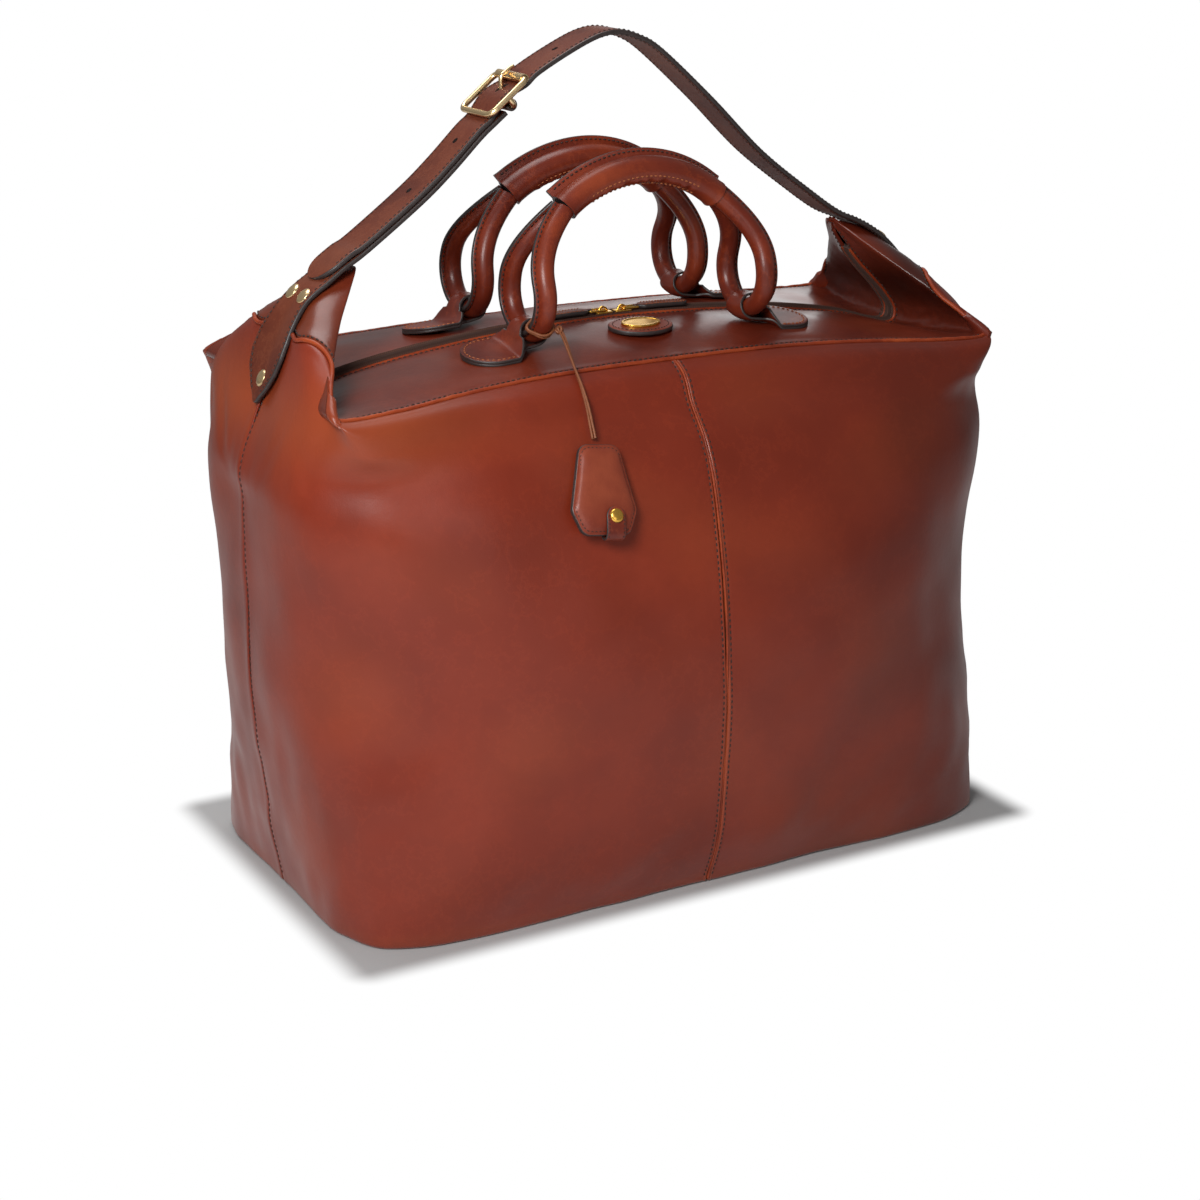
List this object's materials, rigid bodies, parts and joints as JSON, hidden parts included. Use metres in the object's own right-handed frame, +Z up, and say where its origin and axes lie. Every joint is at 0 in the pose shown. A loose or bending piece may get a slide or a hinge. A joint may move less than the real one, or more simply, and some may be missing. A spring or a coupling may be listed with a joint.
{
  "type": "weekender bag",
  "caption": "Soft leather weekender bag with zip top, folded ears, two rolled ring handles, buckled shoulder strap and hanging key bell.",
  "frame": {"origin": "under the middle of the base, on the floor", "axes": "+Z up, +X along the bag's length, the side with the key bell and oval patch faces -Y"},
  "size_m": [0.5374, 0.3302, 0.5579],
  "materials": {
    "wall_leather": "glossy mottled cognac leather with fine grain",
    "top_leather": "darker glossy brown leather",
    "piping_leather": "orange-brown rolled leather edge",
    "strap_leather": "brown bridle leather with black painted edges",
    "handle_leather": "polished cognac leather",
    "lining": "plain cotton",
    "board": "stiff board",
    "zip_tape": "woven tape",
    "zip_coil": "moulded coil",
    "yellow_brass": "polished yellow brass",
    "pale_brass": "polished pale brass"
  },
  "bodies": {
    "bag": {"front_left_panel": "wall_leather", "front_right_panel": "wall_leather", "back_left_panel": "wall_leather", "back_right_panel": "wall_leather", "base_panel": "wall_leather", "base_board": "board", "lining": "lining", "top_front_panel": "top_leather", "top_back_panel": "top_leather", "front_piping": "piping_leather", "back_piping": "piping_leather", "front_zip_tape": "zip_tape", "back_zip_tape": "zip_tape", "front_zip_coil": "zip_coil", "back_zip_coil": "zip_coil", "front_left_loop": "handle_leather", "front_right_loop": "handle_leather", "back_left_loop": "handle_leather", "back_right_loop": "handle_leather", "strap_tip": "strap_leather", "left_chape": "strap_leather", "right_anchor": "strap_leather", "left_rivets": "pale_brass", "right_rivets": "pale_brass", "oval_patch": "strap_leather", "oval_plate": "yellow_brass", "lace_hitch": "strap_leather"},
    "front_handle": {"front_handle_rope": "handle_leather", "front_handle_grip": "handle_leather"},
    "back_handle": {"back_handle_rope": "handle_leather", "back_handle_grip": "handle_leather"},
    "left_zip_slider": {"left_slider": "yellow_brass"},
    "right_zip_slider": {"right_slider": "yellow_brass"},
    "left_puller": {"left_puller_link": "yellow_brass", "left_pull_tab": "strap_leather"},
    "right_puller": {"right_puller_link": "yellow_brass", "right_pull_tab": "strap_leather"},
    "shoulder_strap": {"strap": "strap_leather", "buckle_chape": "strap_leather", "buckle_frame": "pale_brass"},
    "roller": {"buckle_roller": "pale_brass"},
    "prong": {"buckle_prong": "pale_brass"},
    "key_bell": {"bell_lace": "strap_leather", "bell_front": "strap_leather", "bell_back": "strap_leather", "bell_keys": "yellow_brass"},
    "bell_flap": {"bell_tab": "strap_leather", "bell_snap": "yellow_brass"}
  },
  "joints": [
    {"name": "front_handle_swing", "type": "hinge", "parent": "bag", "child": "front_handle", "pos_m": [0, -0.048, 0.397], "axis": [1, 0, 0], "range_deg": [-15, 60]},
    {"name": "back_handle_swing", "type": "hinge", "parent": "bag", "child": "back_handle", "pos_m": [0, 0.04, 0.397], "axis": [-1, 0, 0], "range_deg": [-10, 85]},
    {"name": "strap_swing", "type": "hinge", "parent": "bag", "child": "shoulder_strap", "pos_m": [0, 0, 0.418], "axis": [1, 0, 0], "range_deg": [-50, 50]},
    {"name": "left_slider_travel", "type": "hinge", "parent": "bag", "child": "left_zip_slider", "pos_m": [0, 0, -0.778], "axis": [0, -1, 0], "range_deg": [0, 8]},
    {"name": "right_slider_travel", "type": "hinge", "parent": "bag", "child": "right_zip_slider", "pos_m": [0, 0, -0.778], "axis": [0, 1, 0], "range_deg": [0, 7.3]},
    {"name": "left_puller_lift", "type": "hinge", "parent": "left_zip_slider", "child": "left_puller", "pos_m": [-0.001, 0, 0.3696], "axis": [0, 1, 0], "range_deg": [0, 85]},
    {"name": "right_puller_lift", "type": "hinge", "parent": "right_zip_slider", "child": "right_puller", "pos_m": [0.01404, 0, 0.36951], "axis": [0, -1, 0], "range_deg": [0, 85]},
    {"name": "roller_spin", "type": "hinge", "parent": "shoulder_strap", "child": "roller", "pos_m": [-0.06882, 0, 0.53019], "axis": [0, 1, 0], "continuous": true},
    {"name": "prong_lift", "type": "hinge", "parent": "shoulder_strap", "child": "prong", "pos_m": [-0.0775, 0, 0.5139], "axis": [0, -1, 0], "range_deg": [0, 8]},
    {"name": "bell_swing", "type": "hinge", "parent": "bag", "child": "key_bell", "pos_m": [-0.073, -0.072, 0.376], "axis": [-1, 0, 0], "range_deg": [0, 70]},
    {"name": "bell_flap_open", "type": "hinge", "parent": "key_bell", "child": "bell_flap", "pos_m": [-0.08375, -0.15771, 0.26149], "axis": [0.9903, -0.061, -0.1251], "range_deg": [0, 110]}
  ]
}
